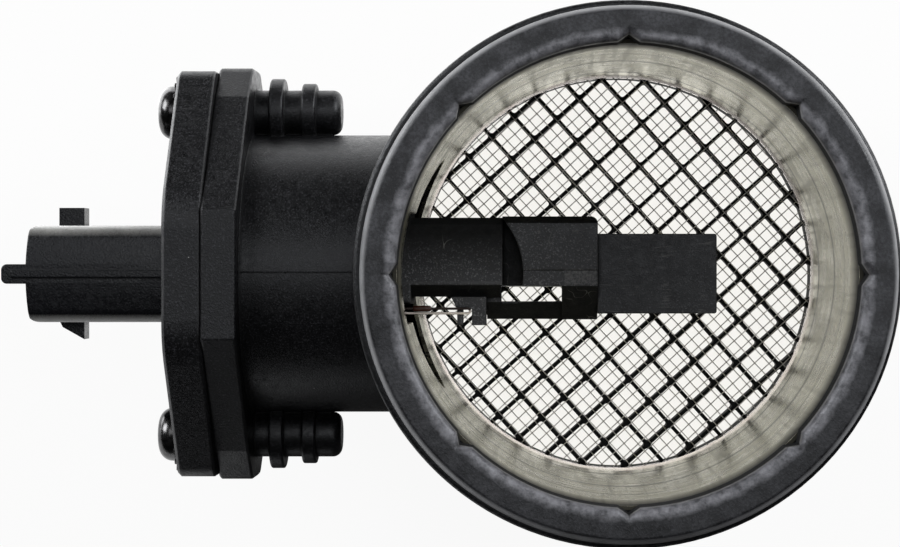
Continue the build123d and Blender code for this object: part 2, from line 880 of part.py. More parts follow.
# ---------------------------------------------------------------- all pieces
def make_parts():
    parts = {
        "housing": make_housing(),
        "flow_sleeve": make_flow_sleeve(),
        "flow_straightener": make_flow_straightener(),
        "wire_screen": make_wire_screen(),
        "screen_rim": make_screen_rim(),
        "retaining_ring": make_retaining_ring(),
        "sensor_body": make_sensor_body(),
        "neck_seal": make_neck_seal(),
        "electronics_lid": make_electronics_lid(),
        "heat_sink": make_heat_sink(),
        "circuit_board": make_circuit_board(),
        "control_chip": on_board(chip_start, chip_size, board_side / 2, chip_size, chip_height),
        "driver_chip": on_board(chip_start, driver_length, -board_side / 2, driver_width, driver_height),
        "capacitors": component_row(capacitor_count, capacitor_pitch, capacitor_start,
                                    capacitor_length, capacitor_width, capacitor_height),
        "resistors": component_row(resistor_count, resistor_pitch, resistor_start,
                                   resistor_length, resistor_width, resistor_height),
        "bond_wires": make_bond_wires(),
        "probe_carrier": make_probe_carrier(),
        "probe_face_cover": make_face_cover(),
        "measuring_duct": make_measuring_duct(),
        "duct_cover": make_duct_cover(),
        "sensing_element": make_sensing_element(),
        "thermistor_bead": make_thermistor_bead(),
        "thermistor_supply_lead": make_supply_lead(),
        "thermistor_return_lead": make_return_lead(),
    }
    for name, height in screw_places().items():
        parts[name + "_screw"] = make_screw(height)
        parts[name + "_lock_washer"] = make_washer(height)
    for index in range(pin_count):
        parts[f"terminal_{index + 1}"] = make_terminal(index)
    return parts


os.makedirs("parts", exist_ok=True)
for name, piece in make_parts().items():
    export_step(piece, f"parts/{name}.step")
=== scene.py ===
# %% [markdown]
# # A mass airflow sensor
#
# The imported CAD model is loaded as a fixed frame. Everything below adds what CAD leaves plain: the
# finish of each moulding and metal, the woven wire screen, the moulded lattice, parting lines and
# wear. Lengths are written in millimetres and turned into Blender's metres where a mesh or a node
# is made.

import json
import math

import bpy
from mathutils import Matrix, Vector


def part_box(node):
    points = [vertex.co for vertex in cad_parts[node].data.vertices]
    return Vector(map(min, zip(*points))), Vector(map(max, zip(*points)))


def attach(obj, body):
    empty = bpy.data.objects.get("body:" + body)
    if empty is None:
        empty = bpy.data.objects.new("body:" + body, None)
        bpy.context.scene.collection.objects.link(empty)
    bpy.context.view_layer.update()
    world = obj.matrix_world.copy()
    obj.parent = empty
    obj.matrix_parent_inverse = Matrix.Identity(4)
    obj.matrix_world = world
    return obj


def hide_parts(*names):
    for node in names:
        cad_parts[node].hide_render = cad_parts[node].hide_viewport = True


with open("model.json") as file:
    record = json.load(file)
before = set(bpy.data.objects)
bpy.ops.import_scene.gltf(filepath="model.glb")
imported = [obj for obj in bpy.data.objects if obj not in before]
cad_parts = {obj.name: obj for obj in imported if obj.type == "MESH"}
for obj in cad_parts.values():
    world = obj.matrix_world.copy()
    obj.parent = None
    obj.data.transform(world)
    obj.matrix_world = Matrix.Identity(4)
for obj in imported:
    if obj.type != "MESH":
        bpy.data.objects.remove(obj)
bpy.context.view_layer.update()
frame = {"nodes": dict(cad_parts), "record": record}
MM = 0.001
print("nodes in the frame:", len(frame["nodes"]))

# %% [markdown]
# ## The camera
#
# The sensor stands on its inlet end and is seen straight down its tube, from about 330 mm above the
# outlet. A long lens keeps the circles of the tube round. The lens axis meets the sensor beside the
# tube's middle, so a small shift moves the view and the camera itself stays level.

# %% Camera above the outlet
PICTURE_WIDTH = 900
FOCAL_PIXELS = 2244
SENSOR_WIDTH = 36
AXIS_RIGHT = 98
AXIS_UP = 11.5
CAMERA_PLACE = (-12 * MM, 1.9 * MM, 412 * MM)

camera_data = bpy.data.cameras.new("camera")
camera_data.sensor_width = SENSOR_WIDTH
camera_data.lens = FOCAL_PIXELS * SENSOR_WIDTH / PICTURE_WIDTH
camera_data.shift_x = -AXIS_RIGHT / PICTURE_WIDTH
camera_data.shift_y = -AXIS_UP / PICTURE_WIDTH
camera = bpy.data.objects.new("camera", camera_data)
camera.location = CAMERA_PLACE
bpy.context.scene.collection.objects.link(camera)
bpy.context.scene.camera = camera
bpy.context.scene.view_settings.view_transform = "Standard"
print("lens", round(camera_data.lens, 1), "mm")

# %% [markdown]
# ## Node helpers
#
# Shader trees and geometry trees are both graphs of nodes. One small function makes a node, sets
# its options and fills its inputs, either with a plain value or with the output of another node.
# The others name the sums that come up again and again. Patterns read Object coordinates turned
# into millimetres, so that a grain size is written as it is measured.

# %% Make one node, or one sum
def put(tree, kind, inputs=None, **options):
    """A node with its options set and its inputs filled by values or by other nodes' outputs."""
    made = tree.nodes.new(kind)
    for name, value in options.items():
        setattr(made, name, value)
    for key, value in (inputs or {}).items():
        if isinstance(value, bpy.types.NodeSocket):
            tree.links.new(value, made.inputs[key])
        else:
            made.inputs[key].default_value = value
    return made


def reckon(tree, operation, *values):
    """Output of a Math node."""
    return put(tree, "ShaderNodeMath", dict(enumerate(values)), operation=operation).outputs[0]


def both(tree, first, *others):
    """Product of two or more values. With masks it is where all of them hold."""
    product = first
    for other in others:
        product = reckon(tree, "MULTIPLY", product, other)
    return product


def spread(tree, value, low, high, to_low=0.0, to_high=1.0):
    """Value from one range carried to another, held within it."""
    inputs = {"Value": value, "From Min": low, "From Max": high, "To Min": to_low, "To Max": to_high}
    return put(tree, "ShaderNodeMapRange", inputs).outputs["Result"]


def axes(tree, vector):
    """A vector's X, Y and Z."""
    return put(tree, "ShaderNodeSeparateXYZ", {0: vector}).outputs


def length(tree, vector):
    """How long a vector is."""
    return put(tree, "ShaderNodeVectorMath", {0: vector}, operation="LENGTH").outputs["Value"]


print("helpers:", ", ".join(helper.__name__ for helper in (put, reckon, both, spread, axes, length)))

# %% Start a material, read a place, blend two colours
COLOUR_SOCKETS = {"Factor": 0, "A": 6, "B": 7}
COLOUR_RESULT = 2


def blank_material(name):
    """New material and its empty tree."""
    material = bpy.data.materials.new(name)
    material.use_nodes = True
    material.node_tree.nodes.clear()
    return material, material.node_tree


def place_in_mm(tree):
    """Object coordinates in millimetres."""
    place = put(tree, "ShaderNodeTexCoord").outputs["Object"]
    scaled = put(tree, "ShaderNodeVectorMath", {0: place, "Scale": 1 / MM}, operation="SCALE")
    return scaled.outputs[0]


def blend_colours(tree, amount, first, second):
    """First colour turned by an amount into the second. A Mix node numbers its colour sockets."""
    values = {"Factor": amount, "A": first, "B": second}
    inputs = {COLOUR_SOCKETS[name]: (*value, 1) if isinstance(value, tuple) else value
              for name, value in values.items()}
    return put(tree, "ShaderNodeMix", inputs, data_type="RGBA").outputs[COLOUR_RESULT]


print("one millimetre is", MM, "m")

# %% [markdown]
# ## Floor
#
# The sensor stands on a white sheet. To the camera the sheet shows near white, while a share of it
# is still an ordinary matt surface that keeps the sensor's shadow. Black plastic shows in its gloss
# whatever lies around it. So a black card stands beside the lower side and keeps the round flanks
# there dark, and far out on the upper side the sheet ends. A real card would stand in the picture,
# so neither is modelled: the sheet is dark there for every ray but the camera's. Under the tube and
# beyond the plates it stays white, because the sleeve, the screen and the connector show it in
# their gloss. A strip on the upper side is brighter in gloss, most of all beyond the plates, where
# it lights the connector's rounded edge. Inside the tube the sheet's glow is painted warmer, a
# painted reflection of the sleeve's warm metal.

# %% Sizes and tones of the sheet
FLOOR_SIZE = 4.0
FLOOR_WHITE = 0.92
CAMERA_GLOW = 0.93
GLOSS_GLOW = 0.80
UNDER_TUBE = (38, 42)
WARM_LIGHT_IN_TUBE = (0.99, 0.975, 0.93)
CARD_TONE = 0.05
CARD_EDGE = (-36, -14)
CARD_END = (-77, -81)
FAR_EDGE = (150, 260)
BRIGHT_STRIP = (15, 40)
STRIP_END = (-86, -98)
STRIP_GAIN = 4.0
NEAR_GAIN = 0.9
print("sheet:", FLOOR_SIZE, "m wide, white", FLOOR_WHITE)


# %% White sheet that keeps the shadow
def sheet_tone(tree, part, under):
    """How white the sheet is to every ray but the camera's."""
    beyond = spread(tree, part["X"], *CARD_END)
    card = reckon(tree, "MAXIMUM", spread(tree, part["Y"], *CARD_EDGE, CARD_TONE, 1), beyond)
    side = reckon(tree, "MINIMUM", card, spread(tree, part["Y"], *FAR_EDGE, 1, CARD_TONE))
    return reckon(tree, "MAXIMUM", under, side)


def sheet_gain(tree, part, glossy):
    """How many times brighter than its tone the sheet is."""
    gain = spread(tree, part["X"], *STRIP_END, NEAR_GAIN, STRIP_GAIN)
    strip = both(tree, gain, spread(tree, part["Y"], *BRIGHT_STRIP))
    return reckon(tree, "MULTIPLY_ADD", strip, glossy, 1.0)


def white_sheet():
    """Matt for the shadow, and glowing for the camera and in gloss."""
    material, tree = blank_material("white_sheet")
    place = place_in_mm(tree)
    part = axes(tree, place)
    under = spread(tree, length(tree, place), *UNDER_TUBE, 1, 0)
    path = put(tree, "ShaderNodeLightPath").outputs
    glossy = path["Is Glossy Ray"]
    direct = reckon(tree, "MAXIMUM", path["Is Camera Ray"], path["Is Transmission Ray"])
    tone = reckon(tree, "MAXIMUM", direct, sheet_tone(tree, part, under))
    paper = both(tree, tone, FLOOR_WHITE)
    grey = put(tree, "ShaderNodeCombineXYZ", {0: paper, 1: paper, 2: paper}).outputs[0]
    matt = put(tree, "ShaderNodeBsdfDiffuse", {"Color": grey}).outputs[0]
    # Painted warm light: under the tube the sheet glows warmer.
    tint = blend_colours(tree, under, (1, 1, 1), WARM_LIGHT_IN_TUBE)
    strength = both(tree, tone, sheet_gain(tree, part, glossy))
    glow = put(tree, "ShaderNodeEmission", {"Color": tint, "Strength": strength}).outputs[0]
    share = reckon(tree, "MAXIMUM", both(tree, direct, CAMERA_GLOW), both(tree, glossy, GLOSS_GLOW))
    mixed = put(tree, "ShaderNodeMixShader", {0: share, 1: matt, 2: glow}).outputs[0]
    put(tree, "ShaderNodeOutputMaterial", {"Surface": mixed})
    return material


# %% Lay the sheet
half = FLOOR_SIZE / 2
corners = [(-half, -half, 0), (half, -half, 0), (half, half, 0), (-half, half, 0)]
sheet = bpy.data.meshes.new("floor")
sheet.from_pydata(corners, [], [(0, 1, 2, 3)])
sheet.materials.append(white_sheet())
floor = bpy.data.objects.new("floor", sheet)
bpy.context.scene.collection.objects.link(floor)
print("floor:", len(sheet.polygons), "face")

# %% [markdown]
# ## Light
#
# Two lamps far out at the sides give most of the level. They stand near the line of the neck, so
# that the neck's round back doesn't mirror them. A fainter one overhead gives every upward face its
# even dark grey sheen. A long and very faint one at the upper side softens that flank. A picture
# wrapped round the world could light it too, but four rectangles are easier to move and to measure.

# %% World and lamps
WORLD_STRENGTH = 0.03
LAMP_TARGET = (0, 0, 40 * MM)
LAMPS = {
    "lamp_right": {"place": (0.88, 0.50, 0.60), "size": (0.6, 0.6), "radiance": 8.5},
    "lamp_left": {"place": (-0.88, 0.50, 0.60), "size": (0.6, 0.6), "radiance": 7.5},
    "lamp_overhead": {"place": (0.06, 0.12, 0.90), "size": (0.72, 0.42), "radiance": 1.3},
    "lamp_far_side": {"place": (0.0, 1.2, 0.36), "size": (2.4, 0.7), "radiance": 0.07},
}


def make_world():
    """White to the camera and nearly dark to the sensor."""
    world = bpy.data.worlds.new("tent")
    bpy.context.scene.world = world
    world.use_nodes = True
    tree = world.node_tree
    tree.nodes.clear()
    direct = put(tree, "ShaderNodeLightPath").outputs["Is Camera Ray"]
    strength = spread(tree, direct, 0, 1, WORLD_STRENGTH, 1.0)
    glow = put(tree, "ShaderNodeBackground", {"Color": (1, 1, 1, 1), "Strength": strength})
    put(tree, "ShaderNodeOutputWorld", {"Surface": glow.outputs[0]})


def make_lamp(name, place, size, radiance):
    """Rectangular soft lamp turned to the tube. A radiance of 1 is as bright as white paper."""
    data = bpy.data.lights.new(name, "AREA")
    data.shape = "RECTANGLE"
    data.size, data.size_y = size
    data.energy = radiance * math.pi * size[0] * size[1]
    lamp = bpy.data.objects.new(name, data)
    lamp.location = place
    aim = Vector(LAMP_TARGET) - Vector(place)
    lamp.rotation_euler = aim.to_track_quat("-Z", "Y").to_euler()
    bpy.context.scene.collection.objects.link(lamp)


make_world()
for name, lamp in LAMPS.items():
    make_lamp(name, **lamp)
print("lamps:", ", ".join(LAMPS))

# %% [markdown]
# ## Wear, painted highlights and painted shade
#
# Every moulding and every metal piece is treated in the same way. Its sharp outer edges are
# rounded a little, which catches the light, and are made paler: partly rubbed wear, partly a
# painted highlight. Its inner corners are darkened where little open sky reaches them, a painted
# shade that draws a dark line where two pieces meet. Wear could be painted by hand on each piece.
# Here each material finds the places itself, so that a changed shape keeps its marks: the rounding
# comes from the normals of the neighbouring faces, and the corners from how little open sky a point
# sees.
# Dust and scratches come from noise, and are for the mouldings alone.

# %% Noise and clouds
def noise(tree, place, size, detail=2.0, roughness=0.5, stretch=(1, 1, 1)):
    """Noise whose features are about size millimetres, drawn out along an axis by stretch."""
    squeeze = tuple(1 / factor for factor in stretch)
    drawn = put(tree, "ShaderNodeVectorMath", {0: place, 1: squeeze}, operation="MULTIPLY").outputs[0]
    inputs = {"Vector": drawn, "Scale": 1 / size, "Detail": detail, "Roughness": roughness}
    return put(tree, "ShaderNodeTexNoise", inputs).outputs["Fac"]


def clouds(tree, place, size, span, least, most=1.0, detail=3.0, roughness=0.6, stretch=(1, 1, 1)):
    """Noise of which a span is carried to the range from least to most."""
    return spread(tree, noise(tree, place, size, detail, roughness, stretch), *span, least, most)


def shade(colour, factor):
    """Colour made lighter or darker by a factor."""
    return tuple(min(1.0, channel * factor) for channel in colour)


print("half as light as white paper:", shade((1, 1, 1), 0.5))

# %% Edges and corners
EDGE_SAMPLES = 6
EDGE_TURN = (0.995, 0.80)
EDGE_SKY = (0.72, 0.90)
CORNER_SAMPLES = 6
CORNER_REACH = 1.1
CORNER_SKY = (0.80, 0.45)


def edge_and_corner_masks(tree, radius):
    """Normal rounded over radius millimetres, outer edges as a mask, and corners for painted shade.
    """
    rounded = put(tree, "ShaderNodeBevel", {"Radius": radius * MM}, samples=EDGE_SAMPLES).outputs[0]
    plain = put(tree, "ShaderNodeNewGeometry").outputs["Normal"]
    alike = put(tree, "ShaderNodeVectorMath", {0: rounded, 1: plain}, operation="DOT_PRODUCT")
    turned = spread(tree, alike.outputs["Value"], *EDGE_TURN)
    open_sky = put(tree, "ShaderNodeAmbientOcclusion", {"Distance": CORNER_REACH * MM},
                   samples=CORNER_SAMPLES).outputs["AO"]
    outer = both(tree, turned, spread(tree, open_sky, *EDGE_SKY))
    return rounded, outer, spread(tree, open_sky, *CORNER_SKY)


print("a corner is looked for within", CORNER_REACH, "mm")

# %% Dust and scratches
SPECK_CORE = 0.4
SCRATCH_WIDTH = 0.010
SCRATCH_SPAN = (0.55, 0.66)


def specks(tree, place, spacing, size, share):
    """Small round dots, one in some cells of a loose grid. Sizes in millimetres."""
    cells = put(tree, "ShaderNodeTexVoronoi", {"Vector": place, "Scale": 1 / spacing}).outputs
    near = spread(tree, cells["Distance"], size / spacing, SPECK_CORE * size / spacing)
    chosen = reckon(tree, "LESS_THAN", axes(tree, cells["Color"])["X"], share)
    return both(tree, near, chosen)


def scratches(tree, place, spacing, reach, stretch, width=SCRATCH_WIDTH):
    """Broken hairlines: where a drawn out noise crosses its middle, in patches of a slower one."""
    line = noise(tree, place, spacing, 0.0, 0.5, stretch)
    hair = spread(tree, reckon(tree, "ABSOLUTE", reckon(tree, "SUBTRACT", line, 0.5)), width, 0.0)
    return both(tree, hair, spread(tree, noise(tree, place, reach, 1.0), *SCRATCH_SPAN))


print("scratches are as wide as", SCRATCH_WIDTH, "of the noise's range")

# %% [markdown]
# ## Moulded black plastic
#
# Housing, sensor body, probe and lattice are mouldings of one glass filled family. Their skin has a
# fine grain, its gloss changes a little from place to place, and tiny pale fibres show as specks.
# The skin could be an image, but a computed noise has no seams and keeps its size in millimetres.
# One function makes them all, and each moulding gets its own grain, gloss and wear. A mark is what
# sets one area apart, such as the pale bloom on the tube's mouth: it is a function that answers
# where the area is, with its colour and with how much duller it is.

# %% Plastic moulding
CLOUD_SIZE = 7.0
PATCH_SIZE = 1.3
CLOUD_SHARE = 0.55
TONE_SPAN = (0.35, 0.65)
FIBRE_SPAN = (0.55, 0.68)
RUBBED_SPAN = (0.35, 0.6)
RUBBED_LEAST = 0.35
GLOSS_SPAN = (0.7, 1.3)
SHINIER, DULLER = -0.10, 0.14
DUST_SPACING = 2.6
DUST_SIZE = 0.11
DUST_COLOUR = (0.34, 0.34, 0.33)
CORNER_SHADE_COLOUR = (0.0015, 0.0015, 0.0015)
CORNER_SHADE_ROUGHNESS = 0.4
PLASTIC_IOR = 1.5
COOL_GLOSS = (0.92, 0.95, 1.0, 1.0)


def add_marks(tree, place, skin, gloss, marks):
    """Skin and gloss with each mark laid over them."""
    for mark in marks:
        where, mark_colour, duller = mark(tree, place)
        skin = blend_colours(tree, where, skin, mark_colour)
        gloss = reckon(tree, "MULTIPLY_ADD", where, duller, gloss)
    return skin, gloss


def moulded_plastic(name, colour, roughness=0.5, grain=0.35, grain_depth=0.02, mottle=0.25,
                    edge_radius=0.35, edge_wear_and_highlight=2.4, speck_share=0.12, corner_shade=0.9, fibre_light=2.0,
                    marks=()):
    """Grained moulding. Sizes are in millimetres."""
    material, tree = blank_material(name)
    place = place_in_mm(tree)
    rounded, edge, corner = edge_and_corner_masks(tree, edge_radius)
    cloud = noise(tree, place, CLOUD_SIZE, 3.0, 0.6)
    patch = noise(tree, place, PATCH_SIZE, 3.0, 0.65)
    fine = noise(tree, place, grain, 2.0, 0.65)
    tone = reckon(tree, "MULTIPLY_ADD", patch, 1 - CLOUD_SHARE, both(tree, cloud, CLOUD_SHARE))
    tone = spread(tree, tone, *TONE_SPAN)
    skin = blend_colours(tree, tone, shade(colour, 1 - mottle), shade(colour, 1 + mottle))
    skin = blend_colours(tree, spread(tree, fine, *FIBRE_SPAN), skin, shade(colour, fibre_light))
    # Outer edges made paler: partly rubbed wear, partly a painted highlight.
    rubbed_and_highlit = both(tree, edge, spread(tree, patch, *RUBBED_SPAN, RUBBED_LEAST, 1.0))
    skin = blend_colours(tree, rubbed_and_highlit, skin, shade(colour, edge_wear_and_highlight))
    gloss = spread(tree, reckon(tree, "ADD", patch, fine), *GLOSS_SPAN,
                   roughness + SHINIER, roughness + DULLER)
    skin, gloss = add_marks(tree, place, skin, gloss, marks)
    if speck_share:
        dust = specks(tree, place, DUST_SPACING, DUST_SIZE, speck_share)
        skin = blend_colours(tree, dust, skin, DUST_COLOUR)
    # Painted shade: corners darker and duller where little open sky reaches.
    skin = blend_colours(tree, both(tree, corner, corner_shade), skin, CORNER_SHADE_COLOUR)
    gloss = reckon(tree, "MULTIPLY_ADD", corner, CORNER_SHADE_ROUGHNESS * corner_shade, gloss)
    bump = put(tree, "ShaderNodeBump", {
        "Height": fine, "Distance": grain_depth * MM, "Normal": rounded})
    surface = put(tree, "ShaderNodeBsdfPrincipled", {
        "Base Color": skin, "Roughness": gloss, "Normal": bump.outputs[0], "IOR": PLASTIC_IOR,
        "Specular Tint": COOL_GLOSS})
    put(tree, "ShaderNodeOutputMaterial", {"Surface": surface.outputs[0]})
    return material


print("dust lies on a grid of", DUST_SPACING, "mm")

# %% [markdown]
# ## Marks on the tube's mouth
#
# The mouth has been pushed into a hose and wiped. Its end face carries a cloudy grey bloom, thinned
# by painted shade on the lower side. The lip inside it is paler in ragged clouds, partly polish and
# partly a painted highlight on its rounding. A pale band round the outer rounding is a painted
# highlight, and a black line at the lip's foot against the sleeve is a painted shadow. A painted
# mask could hold these marks. The mouth is round, so a distance from the tube's axis and a height
# say the same in a few numbers.

# %% Bloom on the end face
BLOOM_HEIGHT = (74.0, 79.0)
BLOOM_REACH = (42.0, 41.0)
BLOOM_SHADE_ACROSS = (-36.0, 10.0)
BLOOM_IN_SHADE = 0.55
BLOOM_CLOUDS = {"size": 3.6, "span": (0.36, 0.64), "least": 0.05, "detail": 5.0, "roughness": 0.65}
BLOOM_SPECKLE = {"size": 0.5, "span": (0.36, 0.62), "least": 0.45, "most": 1.15, "detail": 2.0,
                 "roughness": 0.5}
BLOOM_LOOK = (0.050, 0.051, 0.057), 0.10


def from_axis(tree, place):
    """Distance from the tube's axis, and height, both in millimetres."""
    part = axes(tree, place)
    flat = put(tree, "ShaderNodeCombineXYZ", {0: part["X"], 1: part["Y"]}).outputs[0]
    return length(tree, flat), part["Z"]


def mouth_bloom(tree, place):
    """Cloudy grey over the mouth, thinned by painted shade on the lower side."""
    far, height = from_axis(tree, place)
    cloudy = both(tree, clouds(tree, place, **BLOOM_CLOUDS), clouds(tree, place, **BLOOM_SPECKLE))
    mouth = both(tree, spread(tree, height, *BLOOM_HEIGHT), spread(tree, far, *BLOOM_REACH))
    # Painted shade: the bloom thins towards the lower side.
    side = spread(tree, axes(tree, place)["Y"], *BLOOM_SHADE_ACROSS, BLOOM_IN_SHADE, 1.0)
    return both(tree, mouth, side, cloudy), *BLOOM_LOOK


print("bloom above", BLOOM_HEIGHT[0], "mm")

# %% Polished lip, with a painted highlight on its rounding
LIP_REACH = (37.3, 36.4)
LIP_HEIGHT = (79.4, 80.2)
LIP_EDGE_SIZE = 3.0
LIP_RAGGED = 1.6
LIP_CLOUDS = {"size": 2.0, "span": (0.36, 0.62), "least": 0.20, "detail": 5.0, "roughness": 0.65}
LIP_LOOK = (0.21, 0.212, 0.232), 0.02


def lip_polish_and_highlight(tree, place):
    """Pale clouds on the lip, partly polish and partly a painted highlight, with a ragged outer edge.
    """
    far, height = from_axis(tree, place)
    edge = noise(tree, place, LIP_EDGE_SIZE, 3.0, 0.6)
    ragged = reckon(tree, "MULTIPLY_ADD", edge, LIP_RAGGED, far)
    lip = both(tree, spread(tree, ragged, *LIP_REACH), spread(tree, height, *LIP_HEIGHT))
    return both(tree, lip, clouds(tree, place, **LIP_CLOUDS)), *LIP_LOOK


print("lip polished above", LIP_HEIGHT[0], "mm")

# %% Painted highlight on the outer rounding, and painted shadow at the lip's foot
ROUNDING_HIGHLIGHT_REACH = (38.95, 39.5)
ROUNDING_HIGHLIGHT_HEIGHT = (79.6, 80.3)
ROUNDING_HIGHLIGHT_CLOUDS = {"size": 6.0, "span": (0.30, 0.70), "least": 0.55}
ROUNDING_HIGHLIGHT_LOOK = (0.34, 0.345, 0.36), 0.10
FOOT_REACH = (37.5, 36.5)
FOOT_TOP = (79.7, 79.0)
FOOT_BOTTOM = (74.0, 75.0)
FOOT_SHADOW_LOOK = (0.002, 0.002, 0.002), 0.45


def rounding_highlight(tree, place):
    """Painted highlight: a pale band in clouds round the mouth's outer rounding."""
    far, height = from_axis(tree, place)
    band = both(tree, spread(tree, far, *ROUNDING_HIGHLIGHT_REACH), spread(tree, height, *ROUNDING_HIGHLIGHT_HEIGHT))
    return both(tree, band, clouds(tree, place, **ROUNDING_HIGHLIGHT_CLOUDS)), *ROUNDING_HIGHLIGHT_LOOK


def lip_foot_shadow(tree, place):
    """Painted shadow: black in the corner between the lip and the sleeve."""
    far, height = from_axis(tree, place)
    foot = both(tree, spread(tree, height, *FOOT_TOP), spread(tree, height, *FOOT_BOTTOM))
    return both(tree, foot, spread(tree, far, *FOOT_REACH)), *FOOT_SHADOW_LOOK


print("dirt within", FOOT_REACH[0], "mm of the axis")

# %% [markdown]
# ## Marks on the probe
#
# The probe's flat front faces came off a spark eroded part of the mould and are grey. The slopes
# beside them and the floor of the round hollow are painted black and duller, a painted shade. The
# shank is painted darker towards its upper side, a painted shade, and a broken bright line along its
# lower edge is a painted highlight. Where the moulding's gate was cut off beside the window, a rough
# pale patch is left. Hairlines cross the shank and the cover, and broader scratches run along the
# duct. The flanks are told by which way they face, and the other marks by their places along and
# across the probe.

# %% Painted shade on the flanks and in the hollow
UPWARD = (0.97, 0.90)
FLANK_SHADE_LOOK = (0.002, 0.002, 0.002), 0.30
HOLLOW_FLOOR = 42.3
HOLLOW_DEEP = (HOLLOW_FLOOR + 0.3, HOLLOW_FLOOR + 0.1)
HOLLOW_SIDE = (-4.1, -3.9)
HOLLOW_SHADE_LOOK = (0.0015, 0.0015, 0.0015), 0.25


def shaded_flanks(tree, place):
    """Painted shade: everything on the probe that doesn't face straight up turns black."""
    normal = put(tree, "ShaderNodeNewGeometry").outputs["Normal"]
    return spread(tree, axes(tree, normal)["Z"], *UPWARD), *FLANK_SHADE_LOOK


def hollow_shade(tree, place):
    """Painted shade: the hollow's floor, which lies deep, turns black."""
    part = axes(tree, place)
    deep = both(tree, spread(tree, part["Z"], *HOLLOW_DEEP), spread(tree, part["Y"], *HOLLOW_SIDE))
    return deep, *HOLLOW_SHADE_LOOK


print("hollow's floor at", HOLLOW_FLOOR, "mm")

# %% Painted shade on the shank, and a painted highlight on its lower edge
SHANK_END = (-19.3, -19.5)
SHANK_SHADE = (-0.5, 6.5)
SHANK_MOST = 0.95
SHANK_SHADOW_LOOK = (0.001, 0.001, 0.001), 0.45
SHANK_HIGHLIGHT_ACROSS = (-1.75, -1.10, 0.25)
SHANK_HIGHLIGHT_CLOUDS = {"size": 1.6, "span": (0.35, 0.60), "least": 0.15, "most": 0.9,
                   "stretch": (3, 1, 1)}
SHANK_HIGHLIGHT_LOOK = (0.05, 0.05, 0.052), -0.08


def within(tree, value, low, high, soft):
    """1 between two values, falling to 0 over a soft margin inside them."""
    return both(tree, spread(tree, value, low, low + soft), spread(tree, value, high, high - soft))


def shank_shadow(tree, place):
    """Painted shade: the shank's skin blacker and duller towards its upper side."""
    part = axes(tree, place)
    amount = spread(tree, part["Y"], *SHANK_SHADE, 0.0, SHANK_MOST)
    return both(tree, amount, spread(tree, part["X"], *SHANK_END)), *SHANK_SHADOW_LOOK


def shank_edge_highlight(tree, place):
    """Painted highlight: a bright broken line along the shank's lower edge."""
    part = axes(tree, place)
    line = both(tree, within(tree, part["Y"], *SHANK_HIGHLIGHT_ACROSS), spread(tree, part["X"], *SHANK_END))
    return both(tree, line, clouds(tree, place, **SHANK_HIGHLIGHT_CLOUDS)), *SHANK_HIGHLIGHT_LOOK


print("rub line from", SHANK_HIGHLIGHT_ACROSS[0], "to", SHANK_HIGHLIGHT_ACROSS[1], "mm across the shank")

# %% Gate patch and hairlines
GATE_ALONG = (-9.4, -4.0, 0.2)
GATE_ACROSS = (-2.0, 0.9, 0.5)
GATE_CLOUDS = {"size": 0.5, "span": (0.40, 0.62), "least": 0.1, "roughness": 0.7}
GATE_LOOK = (0.15, 0.15, 0.155), 0.15
HAIRLINES = {"spacing": 2.4, "reach": 4.0, "stretch": (0.7, 1.6, 1.0)}
HAIRLINE_LOOK = (0.13, 0.13, 0.125), -0.05
LONG_SCRATCHES = {"spacing": 1.0, "reach": 3.0, "stretch": (8.0, 0.9, 1.0), "width": 0.05}
LONG_SCRATCH_LOOK = (0.09, 0.09, 0.09), -0.05


def gate_patch(tree, place):
    """Rough pale patch where the gate was cut off, beside the window."""
    part = axes(tree, place)
    patch = both(tree, within(tree, part["X"], *GATE_ALONG), within(tree, part["Y"], *GATE_ACROSS))
    return both(tree, patch, clouds(tree, place, **GATE_CLOUDS)), *GATE_LOOK


def hairlines(tree, place):
    """Fine scratches on the shank and the cover."""
    return scratches(tree, place, **HAIRLINES), *HAIRLINE_LOOK


def long_scratches(tree, place):
    """Broader scratches drawn out along the duct."""
    return scratches(tree, place, **LONG_SCRATCHES), *LONG_SCRATCH_LOOK


print("gate patch from", GATE_ALONG[0], "to", GATE_ALONG[1], "mm along the probe")

# %% [markdown]
# ## Marks on the connector and the lead
#
# The connector's shroud comes off a polished part of the mould, so it is smoother than the plates.
# Its rounded edges are painted pale in clouds, a painted reflection of the white sheet, while its
# flat sides keep their black.
# The upper of the two leads is covered in dark enamel on its way from the bead, and the lower one
# is bare and bright.

# %% Shroud and enamel
SHROUD_ROOT = (-73.15, -73.25)
SHROUD_MOST = 0.8
SHROUD_LOOK = (0.0036, 0.0038, 0.0050), -0.16
SHROUD_MIDDLE = 41.0
SHROUD_CORNER = (12.0, 13.0)
SHROUD_UPPER = (5.9, 7.5)
SHROUD_LOWER = (-6.4, -7.4)
SHROUD_FLATS = (-7.95, 7.95, 0.02)
SHROUD_REFLECTION_CLOUDS = {"size": 2.5, "span": (0.3, 0.7), "least": 0.7}
SHROUD_REFLECTION_LOOK = (0.42, 0.42, 0.405), 0.10
ENAMEL_SIDE = (-6.05, -5.95)
ENAMEL_LOOK = (0.03, 0.02, 0.018), 0.1


def smooth_shroud(tree, place):
    """The shroud, beyond the plates."""
    return spread(tree, axes(tree, place)["X"], *SHROUD_ROOT, 0.0, SHROUD_MOST), *SHROUD_LOOK


